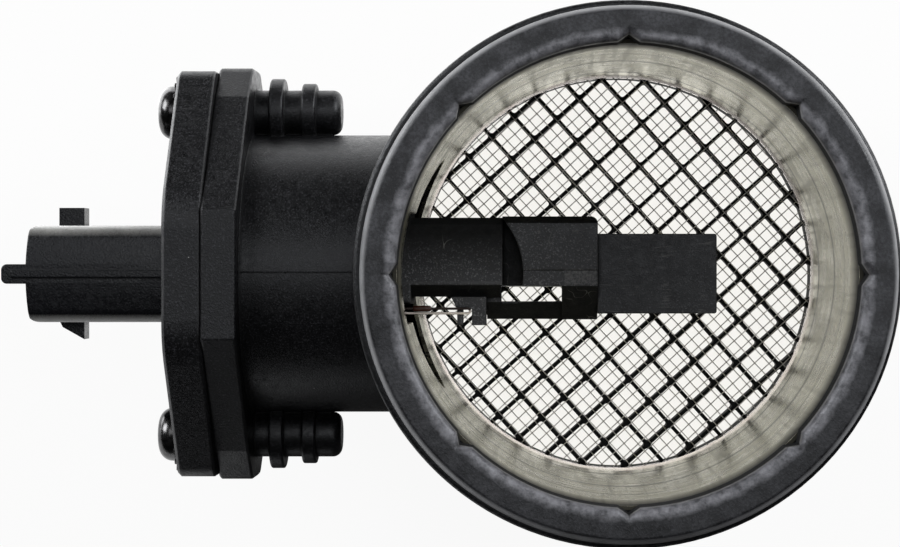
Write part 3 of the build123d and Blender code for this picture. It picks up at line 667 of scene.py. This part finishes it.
def shroud_edge_reflection(tree, place):
    """Painted reflection: the shroud's rounded edges pale, the upper one more than the lower."""
    part = axes(tree, place)
    from_middle = reckon(tree, "ABSOLUTE", reckon(tree, "SUBTRACT", part["Z"], SHROUD_MIDDLE))
    corner = both(tree, spread(tree, part["X"], *SHROUD_ROOT),
                  spread(tree, from_middle, *SHROUD_CORNER))
    edges = reckon(tree, "MAXIMUM", spread(tree, part["Y"], *SHROUD_UPPER),
                   spread(tree, part["Y"], *SHROUD_LOWER))
    near = within(tree, part["Y"], *SHROUD_FLATS)
    return both(tree, corner, edges, near, clouds(tree, place, **SHROUD_REFLECTION_CLOUDS)), *SHROUD_REFLECTION_LOOK


def enamel(tree, place):
    """The lead that comes from the bead's upper side."""
    return spread(tree, axes(tree, place)["Y"], *ENAMEL_SIDE), *ENAMEL_LOOK


print("shroud starts at", SHROUD_ROOT[0], "mm")

# %% [markdown]
# ## The mouldings' finishes
#
# Each moulding now gets its own colour, roughness, grain size and grain depth. The big ones are
# almost black with pale fibres, so that they stay dark on their flanks and still show their grain
# in the light. The small pieces inside, such as the chips and the ceramic board, use the same
# function with less grain and no dust.

# %% Finishes of the mouldings
finishes = {
    "housing_plastic": moulded_plastic("housing_plastic", (0.0030, 0.0030, 0.0035), 0.38, 0.30, 0.045,
                                       fibre_light=8.0,
                                       marks=(mouth_bloom, lip_polish_and_highlight, rounding_highlight, lip_foot_shadow)),
    "body_plastic": moulded_plastic("body_plastic", (0.0030, 0.0030, 0.0035), 0.37, 0.30, 0.050,
                                    fibre_light=9.0, marks=(smooth_shroud, shroud_edge_reflection)),
    "probe_plastic": moulded_plastic("probe_plastic", (0.0185, 0.0187, 0.0200), 0.42, 0.30, 0.06,
                                     fibre_light=8.0,
                                     marks=(shank_shadow, shank_edge_highlight, gate_patch, shaded_flanks,
                                            hollow_shade, hairlines)),
    "duct_plastic": moulded_plastic("duct_plastic", (0.0080, 0.0082, 0.0094), 0.43, 0.30, 0.05,
                                    fibre_light=9.0, marks=(long_scratches,)),
    "lattice_plastic": moulded_plastic("lattice_plastic", (0.003, 0.003, 0.0033), 0.75, 0.30, 0.01,
                                       edge_wear_and_highlight=1.4, speck_share=0),
    "chip_resin": moulded_plastic("chip_resin", (0.02, 0.02, 0.02), 0.55, 0.12, 0.006, speck_share=0),
    "seal_rubber": moulded_plastic("seal_rubber", (0.015, 0.015, 0.015), 0.6, 0.5, 0.004, mottle=0.15,
                                   speck_share=0),
    "board_ceramic": moulded_plastic("board_ceramic", (0.80, 0.79, 0.74), 0.5, 0.1, 0.003,
                                     mottle=0.04, edge_wear_and_highlight=1.1, speck_share=0),
    "capacitor_ceramic": moulded_plastic("capacitor_ceramic", (0.50, 0.36, 0.22), 0.4, 0.1, 0.003,
                                         mottle=0.12, edge_wear_and_highlight=1.2, speck_share=0),
    "bead_resin": moulded_plastic("bead_resin", (0.040, 0.012, 0.008), 0.18, 0.3, 0.004, mottle=0.3,
                                  edge_wear_and_highlight=1.3, speck_share=0),
}
print("mouldings:", ", ".join(finishes))

# %% [markdown]
# ## Metals
#
# The sleeve is drawn tube, bright inside and a little yellow. Drawing has left fine lines round it,
# two deeper ones and a fainter third where the die stopped, dull streaks along it and oxidised
# spots, and a painted shade darkens its last millimetres below the lip. The screen's rim is rolled
# from bright strip. Screws and washers are dark zinc plate, and the contacts are tinned. Drawn metal
# could be an image of lines. A noise drawn out along one axis gives lines of any length without a
# seam, so one function gives each metal its colour, its gloss and the direction of its lines, with
# painted shade darkening its corners and a painted highlight on its outer edges.

# %% Metal finish
CORNER_SHADE_TONE = 0.12
EDGE_SHINE = 1.25
METAL_SHINIER, METAL_DULLER = -0.06, 0.10
STAIN_LIFT = 0.4


def bright_metal(name, colour, roughness=0.25, line_size=0.25, line_depth=0.002, stretch=(1, 1, 1),
                 stain=0.15, stain_size=4.0, edge_radius=0.15, metallic=1.0, darken=0.7, marks=()):
    """Metal with fine lines drawn out along an axis. Sizes are in millimetres."""
    material, tree = blank_material(name)
    place = place_in_mm(tree)
    rounded, edge, corner = edge_and_corner_masks(tree, edge_radius)
    line = noise(tree, place, line_size, 3.0, 0.6, stretch)
    cloud = noise(tree, place, stain_size, 4.0, 0.6)
    tone = spread(tree, cloud, *TONE_SPAN)
    skin = blend_colours(tree, tone, shade(colour, 1 - stain), shade(colour, 1 + stain * STAIN_LIFT))
    gloss = spread(tree, reckon(tree, "ADD", line, cloud), *GLOSS_SPAN,
                   roughness + METAL_SHINIER, roughness + METAL_DULLER)
    skin, gloss = add_marks(tree, place, skin, gloss, marks)
    # Painted shade darkens the corners, and a painted highlight brightens the outer edges.
    skin = blend_colours(tree, both(tree, corner, darken), skin, shade(colour, CORNER_SHADE_TONE))
    skin = blend_colours(tree, edge, skin, shade(colour, EDGE_SHINE))
    bump = put(tree, "ShaderNodeBump", {
        "Height": line, "Distance": line_depth * MM, "Normal": rounded})
    surface = put(tree, "ShaderNodeBsdfPrincipled", {
        "Base Color": skin, "Roughness": gloss, "Metallic": metallic, "Normal": bump.outputs[0]})
    put(tree, "ShaderNodeOutputMaterial", {"Surface": surface.outputs[0]})
    return material


print("corners tarnish to", CORNER_SHADE_TONE, "of the metal's colour")

# %% Marks in the sleeve
DIE_LINES = ((25.8, 1.0, 0.85), (47.0, 1.3, 0.7), (60.0, 1.0, 0.35))
DIE_CORE = 0.2
DIE_WAVE_SIZE = 25.0
DIE_WAVER = 1.6
DIE_LOOK = (0.16, 0.155, 0.13), 0.08
STREAKS = {"size": 1.1, "span": (0.52, 0.72), "least": 0.0, "most": 0.45, "detail": 2.0,
           "roughness": 0.5, "stretch": (1, 1, 30)}
SPOTS = {"size": 9.0, "span": (0.56, 0.70), "least": 0.0, "most": 0.5, "detail": 5.0,
         "roughness": 0.7}
STREAK_LOOK = (0.40, 0.39, 0.32), 0.12
LIP_SHADE_HEIGHT = (66.0, 74.0)
LIP_SHADE_MOST = 0.93
LIP_SHADE_LOOK = (0.030, 0.030, 0.028), 0.30


def die_lines(tree, place):
    """Rings round the sleeve, each given by its height, half width and depth of tone."""
    wave = noise(tree, place, DIE_WAVE_SIZE, 1.0)
    waver = reckon(tree, "MULTIPLY_ADD", wave, DIE_WAVER, axes(tree, place)["Z"])
    deepest = 0.0
    for level, half_width, depth in DIE_LINES:
        away = reckon(tree, "ABSOLUTE", reckon(tree, "SUBTRACT", waver, level))
        ring = spread(tree, away, half_width, DIE_CORE * half_width, 0.0, depth)
        deepest = reckon(tree, "MAXIMUM", deepest, ring)
    return deepest, *DIE_LOOK


def drawing_streaks(tree, place):
    """Dull streaks along the sleeve and spots where it has oxidised."""
    dull = reckon(tree, "MAXIMUM", clouds(tree, place, **STREAKS), clouds(tree, place, **SPOTS))
    return dull, *STREAK_LOOK


def sleeve_shade_below_lip(tree, place):
    """Painted shade: the sleeve darker in the last millimetres below the lip."""
    return spread(tree, axes(tree, place)["Z"], *LIP_SHADE_HEIGHT, 0.0, LIP_SHADE_MOST), *LIP_SHADE_LOOK


print("die lines at", ", ".join(str(level) for level, _, _ in DIE_LINES), "mm")

# %% Finishes of the metals, and dress every node
LONG = 40
finishes["sleeve_metal"] = bright_metal("sleeve_metal", (0.69, 0.668, 0.53), 0.25, 0.5, 0.004,
                                        (LONG, LONG, 1), 0.16, 5.0,
                                        marks=(drawing_streaks, die_lines, sleeve_shade_below_lip))
finishes["rim_metal"] = bright_metal("rim_metal", (0.99, 0.90, 0.88), 0.18, darken=0.0)
finishes["screen_wire"] = bright_metal("screen_wire", (0.78, 0.76, 0.73), 0.40)
finishes["sink_aluminium"] = bright_metal("sink_aluminium", (0.80, 0.80, 0.81), 0.35, 0.2, 0.003,
                                          (LONG, 1, 1))
finishes["lead_wire"] = bright_metal("lead_wire", (0.90, 0.82, 0.78), 0.45, 0.3, 0.0, metallic=0.6,
                                     marks=(enamel,))
finishes["screw_steel"] = bright_metal("screw_steel", (0.11, 0.11, 0.112), 0.20, 0.25, 0.006,
                                       stain=0.5, stain_size=1.2)
finishes["terminal_metal"] = bright_metal("terminal_metal", (0.78, 0.72, 0.58), 0.24, 0.15, 0.002,
                                          (LONG, 1, 1))


def dress(slot, material):
    """Gives a material to every CAD node of one record slot."""
    nodes = [part["node"] for part in frame["record"]["subparts"] if part["material_slot"] == slot]
    for node in nodes:
        mesh = frame["nodes"][node].data
        mesh.materials.clear()
        mesh.materials.append(material)
    print(f"{slot}: {', '.join(nodes)}")


for slot, material in finishes.items():
    dress(slot, material)

# %% [markdown]
# ## Geometry trees
#
# The lattice and the woven screen repeat one thing many times, and the parting lines sweep one
# small section along several paths. A loop in the script could place each copy, but a geometry tree
# says the rule once, with its sizes as named inputs, and grows the mesh. The result is then kept as
# a plain mesh at the origin, because a live modifier or an instance doesn't leave Blender with the
# model.

# %% Start, end and grow a tree
def start_tree(name, numbers, vectors=()):
    """New geometry tree and the outputs of its named inputs: numbers, vectors and a material."""
    tree = bpy.data.node_groups.new(name, "GeometryNodeTree")
    tree.interface.new_socket("Geometry", in_out="OUTPUT", socket_type="NodeSocketGeometry")
    for kind, labels in (("Float", numbers), ("Vector", vectors), ("Material", ("Material",))):
        for label in labels:
            tree.interface.new_socket(label, in_out="INPUT", socket_type="NodeSocket" + kind)
    return tree, tree.nodes.new("NodeGroupInput").outputs


def end_tree(tree, geometry, entry):
    """Real geometry with its material, as the tree's result."""
    real = put(tree, "GeometryNodeRealizeInstances", {0: geometry}).outputs[0]
    painted = put(tree, "GeometryNodeSetMaterial", {"Geometry": real, "Material": entry["Material"]})
    put(tree, "NodeGroupOutput", {0: painted.outputs[0]})


def grow(name, tree, slot, sizes):
    """Plain mesh that the tree makes with these sizes, riding on the sensor."""
    piece = bpy.data.objects.new(name, bpy.data.meshes.new(name))
    bpy.context.scene.collection.objects.link(piece)
    modifier = piece.modifiers.new("growth", "NODES")
    modifier.node_group = tree
    for item in tree.interface.items_tree:
        if item.in_out == "INPUT":
            modifier[item.identifier] = sizes.get(item.name, finishes[slot])
    grown = piece.evaluated_get(bpy.context.evaluated_depsgraph_get())
    mesh = bpy.data.meshes.new_from_object(grown)
    piece.modifiers.clear()
    piece.data = mesh
    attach(piece, "root")
    print(f"{name}: {len(mesh.vertices)} points, {len(mesh.polygons)} faces")
    return piece


print("finishes ready for the trees:", len(finishes))

# %% Sweep a section, move a result, smooth a piece
SHARP_ANGLE = math.radians(35)


def swept(tree, path, section):
    """Section swept along a path, with closed ends."""
    inputs = {"Curve": path, "Profile Curve": section, "Fill Caps": True}
    return put(tree, "GeometryNodeCurveToMesh", inputs).outputs[0]


def moved(tree, geometry, change, **parts):
    """Geometry after a change, which is its Translation or its Rotation, given by X, Y or Z."""
    amount = put(tree, "ShaderNodeCombineXYZ", parts).outputs[0]
    return put(tree, "GeometryNodeTransform", {"Geometry": geometry, change: amount}).outputs[0]


def smooth(piece):
    """Smooth shading that keeps the corners sharp."""
    piece.data.shade_smooth()
    piece.data.set_sharp_from_angle(angle=SHARP_ANGLE)
    print(f"{piece.name}: smooth up to {math.degrees(SHARP_ANGLE):.0f} degrees")


# %% [markdown]
# ## The woven screen
#
# The screen is cloth of plain woven wire: each wire passes over one neighbour and under the next.
# It could be drawn wire by wire, but the rule of the weave is short, so a tree grows it. A grid of
# points has one row for each wire. Edges across the rows are deleted, points outside the rim too,
# and each row's height follows a cosine, so that crossing wires take turns. The second set of wires
# is the first one turned by a quarter with the wave turned over. Real cloth is a little uneven, so
# a slow noise moves the wires sideways.

# %% Sizes of the screen
WIRE_PITCH = 1.77 * MM
WIRE_RADIUS = 0.095 * MM
WIRE_TURN = math.radians(42.9)
STEPS_PER_PITCH = 4
WIRE_SIDES = 5
WIRE_WANDER = 0.16 * MM
DRIFT_SCALE = 260.0
DRIFT_SEED = 3.0
HELD_IN_RIM = 1.2 * MM

screen_low, screen_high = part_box("wire_screen")
screen_reach = screen_high.x + HELD_IN_RIM
print("wires each way:", 2 * math.floor(screen_reach / WIRE_PITCH) + 1)


# %% Rows of points
def rows_of_points(tree, entry):
    """Rows that run one way across the screen, one for each wire, trimmed to the rim."""
    pitch = entry["Pitch"]
    half_count = reckon(tree, "FLOOR", reckon(tree, "DIVIDE", entry["Reach"], pitch))
    rows = reckon(tree, "MULTIPLY_ADD", half_count, 2.0, 1.0)
    columns = reckon(tree, "MULTIPLY_ADD", half_count, 2.0 * STEPS_PER_PITCH, 1.0)
    side = both(tree, half_count, pitch, 2.0)
    grid = put(tree, "GeometryNodeMeshGrid", {
        "Size X": side, "Size Y": side, "Vertices X": columns, "Vertices Y": rows}).outputs["Mesh"]
    ends = put(tree, "GeometryNodeInputMeshEdgeVertices").outputs
    step = put(tree, "ShaderNodeVectorMath", {0: ends["Position 1"], 1: ends["Position 2"]},
               operation="SUBTRACT").outputs[0]
    across = reckon(tree, "ABSOLUTE", axes(tree, step)["Y"])
    crossing = reckon(tree, "GREATER_THAN", across, both(tree, pitch, 0.5))
    lines = put(tree, "GeometryNodeDeleteGeometry", {0: grid, "Selection": crossing},
                domain="EDGE", mode="EDGE_FACE").outputs[0]
    far = length(tree, put(tree, "GeometryNodeInputPosition").outputs[0])
    outside = reckon(tree, "GREATER_THAN", far, entry["Reach"])
    return put(tree, "GeometryNodeDeleteGeometry", {0: lines, "Selection": outside},
               domain="POINT", mode="ALL").outputs[0]


print("points in a pitch:", STEPS_PER_PITCH)


# %% Over and under
def over_and_under(tree, entry, upside):
    """How each point of a wire moves: up or down for the weave, and aside where it wanders."""
    place = put(tree, "GeometryNodeInputPosition").outputs[0]
    part = axes(tree, place)
    phase = reckon(tree, "DIVIDE", reckon(tree, "ADD", part["X"], part["Y"]), entry["Pitch"])
    wave = reckon(tree, "COSINE", both(tree, phase, math.pi))
    height = both(tree, wave, both(tree, entry["Wire radius"], upside))
    drift = put(tree, "ShaderNodeTexNoise", {
        "W": entry["Seed"], "Vector": place, "Scale": DRIFT_SCALE, "Detail": 1.0},
        noise_dimensions="4D").outputs["Fac"]
    aside = both(tree, reckon(tree, "SUBTRACT", drift, 0.5), entry["Wander"])
    return put(tree, "ShaderNodeCombineXYZ", {"Y": aside, "Z": height}).outputs[0]


def wires_one_way(tree, entry, upside, turn):
    """One set of parallel wavy wires, turned."""
    rows = rows_of_points(tree, entry)
    lines = put(tree, "GeometryNodeSetPosition", {
        0: rows, "Offset": over_and_under(tree, entry, upside)}).outputs[0]
    paths = put(tree, "GeometryNodeMeshToCurve", {0: lines}).outputs[0]
    section = put(tree, "GeometryNodeCurvePrimitiveCircle", {
        "Resolution": WIRE_SIDES, "Radius": entry["Wire radius"]}).outputs[0]
    wires = swept(tree, paths, section)
    return moved(tree, wires, "Rotation", Z=reckon(tree, "ADD", entry["Turn"], turn))


print("a wire wanders by up to", WIRE_WANDER / MM / 2, "mm")


# %% Weave the screen
def weave_tree():
    """Tree that lays two sets of wires through one another."""
    tree, entry = start_tree("weave", ("Pitch", "Wire radius", "Reach", "Turn", "Wander", "Level",
                                       "Seed"))
    cloth = put(tree, "GeometryNodeJoinGeometry")
    for upside, turn in ((1.0, 0.0), (-1.0, math.pi / 2)):
        tree.links.new(wires_one_way(tree, entry, upside, turn), cloth.inputs[0])
    end_tree(tree, moved(tree, cloth.outputs[0], "Translation", Z=entry["Level"]), entry)
    return tree


woven_screen = grow("woven_screen", weave_tree(), "screen_wire", {
    "Pitch": WIRE_PITCH, "Wire radius": WIRE_RADIUS, "Reach": screen_reach, "Turn": WIRE_TURN,
    "Wander": WIRE_WANDER, "Level": (screen_low.z + screen_high.z) / 2, "Seed": DRIFT_SEED})
smooth(woven_screen)
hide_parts("wire_screen")

# %% [markdown]
# ## The moulded lattice
#
# The lattice at the inlet straightens the air. It is one black moulding: a ring and crossed bars,
# whose corners are rounded because the mould's pins were. It could be drawn bar by bar, but the
# real mould makes it the other way round, from the pins, so the tree does that too: it sets a
# rounded square pin at each cell of a grid, and takes the pins out of a solid disc.

# %% Sizes of the lattice
CELL_PITCH = 5.35 * MM
BAR_WIDTH = 0.62 * MM
CELL_CORNER = 0.45 * MM
CORNER_STEPS = 3
LATTICE_TURN = math.radians(42.1)
LATTICE_SHIFT = (-0.2 * MM, 0.47 * MM)
LATTICE_RING = 2.6 * MM
ROUND_STEPS = 160
PIN_MARGIN = 1 * MM
BORE_MARGIN = 2 * MM
PINS_PAST_RING = 0.6

lattice_low, lattice_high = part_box("flow_straightener")
print("lattice is", round((lattice_high.z - lattice_low.z) / MM, 1), "mm thick")


# %% Prisms and pins
def upright_prism(tree, outline, bottom, top, margin=0.0):
    """Closed prism over an outline, between two heights, with a margin beyond both."""
    ends = [put(tree, "ShaderNodeCombineXYZ", {"Z": reckon(tree, "ADD", height, extra)}).outputs[0]
            for height, extra in ((bottom, -margin), (top, margin))]
    path = put(tree, "GeometryNodeCurvePrimitiveLine", {"Start": ends[0], "End": ends[1]}).outputs[0]
    return swept(tree, path, outline)


def round_prism(tree, entry, radius, margin=0.0):
    """Prism over a circle, whose radius is the input of that name."""
    circle = put(tree, "GeometryNodeCurvePrimitiveCircle", {
        "Resolution": ROUND_STEPS, "Radius": entry[radius]}).outputs[0]
    return upright_prism(tree, circle, entry["Bottom"], entry["Top"], margin)


def square_pin(tree, entry):
    """Square pin with rounded corners, as wide as a cell is between its bars."""
    cell = reckon(tree, "SUBTRACT", entry["Pitch"], entry["Bar"])
    square = put(tree, "GeometryNodeCurvePrimitiveQuadrilateral", {
        "Width": cell, "Height": cell}).outputs[0]
    outline = put(tree, "GeometryNodeFilletCurve", {
        "Curve": square, "Radius": entry["Corner"], "Count": CORNER_STEPS, "Limit Radius": True},
        mode="POLY").outputs[0]
    return upright_prism(tree, outline, entry["Bottom"], entry["Top"], PIN_MARGIN)


def pins_on_grid(tree, entry):
    """A pin at each cell that the ring's inside reaches, all of them turned together."""
    half = reckon(tree, "CEIL", reckon(tree, "DIVIDE", entry["Ring inside"], entry["Pitch"]))
    count = both(tree, half, 2.0)
    side = both(tree, reckon(tree, "SUBTRACT", count, 1.0), entry["Pitch"])
    cells = put(tree, "GeometryNodeMeshGrid", {
        "Size X": side, "Size Y": side, "Vertices X": count, "Vertices Y": count}).outputs["Mesh"]
    cells = moved(tree, cells, "Translation", X=entry["Shift across"], Y=entry["Shift along"])
    far = length(tree, put(tree, "GeometryNodeInputPosition").outputs[0])
    reach = reckon(tree, "ADD", entry["Ring inside"], both(tree, entry["Pitch"], PINS_PAST_RING))
    pins = put(tree, "GeometryNodeInstanceOnPoints", {
        "Points": cells, "Selection": reckon(tree, "LESS_THAN", far, reach),
        "Instance": square_pin(tree, entry)}).outputs[0]
    turned = moved(tree, pins, "Rotation", Z=entry["Turn"])
    return put(tree, "GeometryNodeRealizeInstances", {0: turned}).outputs[0]


print("a cell is", round((CELL_PITCH - BAR_WIDTH) / MM, 2), "mm wide")


# %% Mould the lattice
def lattice_tree():
    """Tree that takes the pins, cut to the ring's inside, out of a disc."""
    tree, entry = start_tree("lattice", ("Pitch", "Bar", "Corner", "Ring outside", "Ring inside",
                                         "Bottom", "Top", "Turn", "Shift across", "Shift along"))
    disc = round_prism(tree, entry, "Ring outside")
    bore = round_prism(tree, entry, "Ring inside", BORE_MARGIN)
    pins = put(tree, "GeometryNodeMeshBoolean", {"Mesh 2": pins_on_grid(tree, entry)},
               operation="INTERSECT")
    tree.links.new(bore, pins.inputs["Mesh 2"])
    moulded = put(tree, "GeometryNodeMeshBoolean", {"Mesh 1": disc, "Mesh 2": pins.outputs["Mesh"]},
                  operation="DIFFERENCE")
    end_tree(tree, moulded.outputs["Mesh"], entry)
    return tree


straightener = grow("straightener_lattice", lattice_tree(), "lattice_plastic", {
    "Pitch": CELL_PITCH, "Bar": BAR_WIDTH, "Corner": CELL_CORNER, "Ring outside": lattice_high.x,
    "Ring inside": lattice_high.x - LATTICE_RING, "Bottom": lattice_low.z, "Top": lattice_high.z,
    "Turn": LATTICE_TURN, "Shift across": LATTICE_SHIFT[0], "Shift along": LATTICE_SHIFT[1]})
smooth(straightener)
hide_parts("flow_straightener")

# %% [markdown]
# ## Parting lines
#
# Where the halves of the mould met, a hair of plastic stands up: along the top and the bottom of
# the neck, and down both sides of the tube. The CAD model could carry them, but they are too thin
# to matter there. Each is one straight path. The tree sweeps a small square section along every
# path, half of it sunk in the wall, so that only its upper corner shows.

# %% Places of the ridges
RIDGE_RADIUS = 0.13 * MM
RIDGE_SIDES = 4
NECK_TOP = 63.8
NECK_BOTTOM = 18.2
NECK_RANGE = (-59.7, -40.2)
NECK_SEAM = 0.3
TUBE_SIDE = 40.0
TUBE_RANGE = (14.0, 68.0)


def in_metres(*place):
    return tuple(part * MM for part in place)


seams = [(in_metres(NECK_RANGE[0], NECK_SEAM, level), in_metres(NECK_RANGE[1], NECK_SEAM, level))
         for level in (NECK_BOTTOM, NECK_TOP)]
seams += [(in_metres(0, side, TUBE_RANGE[0]), in_metres(0, side, TUBE_RANGE[1]))
          for side in (-TUBE_SIDE, TUBE_SIDE)]
print("parting lines:", len(seams))


# %% Sweep the ridges
def ridge_tree(count):
    """Tree that sweeps a square section along some straight paths."""
    ends = [f"{end} {index}" for index in range(count) for end in ("Start", "End")]
    tree, entry = start_tree("ridges", ("Radius",), ends)
    section = put(tree, "GeometryNodeCurvePrimitiveCircle", {
        "Resolution": RIDGE_SIDES, "Radius": entry["Radius"]}).outputs[0]
    together = put(tree, "GeometryNodeJoinGeometry")
    for index in range(count):
        path = put(tree, "GeometryNodeCurvePrimitiveLine", {
            "Start": entry[f"Start {index}"], "End": entry[f"End {index}"]}).outputs[0]
        tree.links.new(swept(tree, path, section), together.inputs[0])
    end_tree(tree, together.outputs[0], entry)
    return tree


seam_sizes = {"Radius": RIDGE_RADIUS}
for index, (start, end) in enumerate(seams):
    seam_sizes.update({f"Start {index}": start, f"End {index}": end})
grow("parting_lines", ridge_tree(len(seams)), "housing_plastic", seam_sizes)
